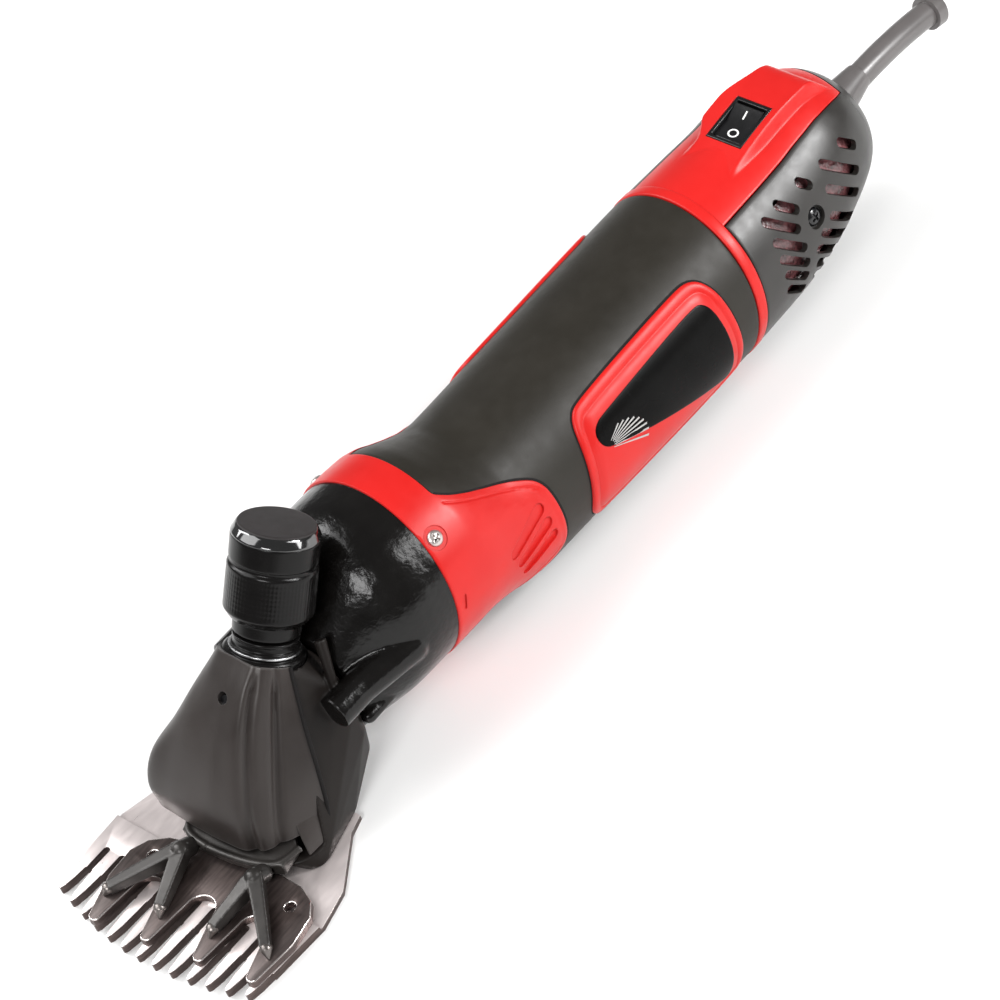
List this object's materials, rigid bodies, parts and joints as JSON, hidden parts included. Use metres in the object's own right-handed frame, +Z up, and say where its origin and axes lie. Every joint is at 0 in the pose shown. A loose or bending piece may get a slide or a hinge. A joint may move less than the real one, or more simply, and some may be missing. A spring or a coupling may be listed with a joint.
{
  "type": "electric sheep shears",
  "caption": "Handheld electric sheep shears with a barrel motor, gear housing, leaning tension knob, and a toothed comb under a swinging cutter.",
  "frame": {"origin": "middle of the bounding box's underside, on the table that the comb lies on", "axes": "+X along the barrel towards the cord outlet, the comb's teeth at -X; +Z up through the switch; +Y completes the right-handed frame"},
  "size_m": [0.3888, 0.0824, 0.0923],
  "materials": {
    "grip_plastic": "soft satin",
    "red_plastic": "satin",
    "label_black": "gloss",
    "grille_plastic": "satin",
    "switch_plastic": "gloss",
    "contact_brass": "bright",
    "boot_rubber": "matte",
    "inner_plastic": "matte",
    "plated_steel": "bright",
    "black_steel": "blackened",
    "die_cast": "cast",
    "laminations": "varnished",
    "copper_winding": "enamelled",
    "brush_carbon": "matte",
    "bearing_steel": "ground",
    "shaft_steel": "ground",
    "housing_black": "gloss black coat",
    "head_bronze": "dark satin coat",
    "fork_steel": "dark satin",
    "cutter_steel": "ground",
    "comb_steel": "polished",
    "knob_black": "black anodised"
  },
  "bodies": {
    "handpiece": {"grip_sleeve": "grip_plastic", "front_trim": "red_plastic", "badge_panel_left": "red_plastic", "badge_panel_right": "red_plastic", "rear_cap": "red_plastic", "label_plate_left": "label_black", "label_plate_right": "label_black", "rear_grille_cover": "grille_plastic", "switch_bezel": "switch_plastic", "switch_contacts": "contact_brass", "brush_holders": "contact_brass", "strain_relief_boot": "boot_rubber", "cord_clamp": "inner_plastic", "cord_clamp_screws": "plated_steel", "trim_screws": "plated_steel", "brush_springs": "plated_steel", "gear_housing_screws": "black_steel", "grille_screws": "black_steel", "cover_screw": "black_steel", "motor_housing": "die_cast", "gear_plate": "die_cast", "field_core": "laminations", "field_coils": "copper_winding", "carbon_brushes": "brush_carbon", "motor_front_bearing": "bearing_steel", "motor_rear_bearing": "bearing_steel", "crank_front_bearing": "bearing_steel", "crank_rear_bearing": "bearing_steel", "fulcrum_post": "shaft_steel", "gear_housing": "housing_black", "head_casting": "head_bronze", "head_cover": "head_bronze", "comb": "comb_steel", "comb_screws": "comb_steel", "tension_sleeve": "knob_black"},
    "armature": {"armature_shaft": "shaft_steel", "armature_core": "laminations", "armature_winding": "copper_winding", "commutator": "copper_winding", "cooling_fan": "inner_plastic", "drive_pinion": "shaft_steel"},
    "crank": {"crank_shaft": "shaft_steel", "crank_gear": "shaft_steel"},
    "roller": {"crank_roller": "bearing_steel"},
    "fork": {"fork": "fork_steel", "yoke_left": "fork_steel", "yoke_right": "fork_steel", "cutter": "cutter_steel"},
    "tension_carrier": {"thrust_cup": "shaft_steel", "tension_spring": "plated_steel", "tension_pin": "shaft_steel"},
    "tension_knob": {"tension_knob": "knob_black"},
    "rocker": {"switch_rocker": "switch_plastic"}
  },
  "joints": [
    {"name": "armature_spin", "type": "hinge", "parent": "handpiece", "child": "armature", "pos_m": [-0.0137, 0, 0.032], "axis": [1, 0, 0], "continuous": true},
    {"name": "crank_spin", "type": "hinge", "parent": "handpiece", "child": "crank", "pos_m": [-0.0777, 0, 0.046], "axis": [1, 0, 0], "continuous": true},
    {"name": "roller_spin", "type": "hinge", "parent": "crank", "child": "roller", "pos_m": [-0.0952, 0.00296, 0.046], "axis": [1, 0, 0], "continuous": true},
    {"name": "fork_swing", "type": "hinge", "parent": "handpiece", "child": "fork", "pos_m": [-0.11769, 0, 0.012], "axis": [0, 0, 1], "range_deg": [-15, 0]},
    {"name": "knob_turn", "type": "hinge", "parent": "tension_carrier", "child": "tension_knob", "pos_m": [-0.10549, 0, 0.06964], "axis": [0.5299, 0, 0.848], "range_deg": [0, 1080]},
    {"name": "tension_slide", "type": "slide", "parent": "handpiece", "child": "tension_carrier", "axis": [0.5299, 0, 0.848], "range_m": [0, 0.0045]},
    {"name": "rocker_tilt", "type": "hinge", "parent": "handpiece", "child": "rocker", "pos_m": [0.10559, 0, 0.05952], "axis": [0, 1, 0], "range_deg": [0, 16]}
  ],
  "couplings": [
    {"joint": "crank_spin", "follows": "armature_spin", "ratio": -0.2963},
    {"joint": "knob_turn", "follows": "tension_slide", "rad_per_m": 4188.8}
  ]
}
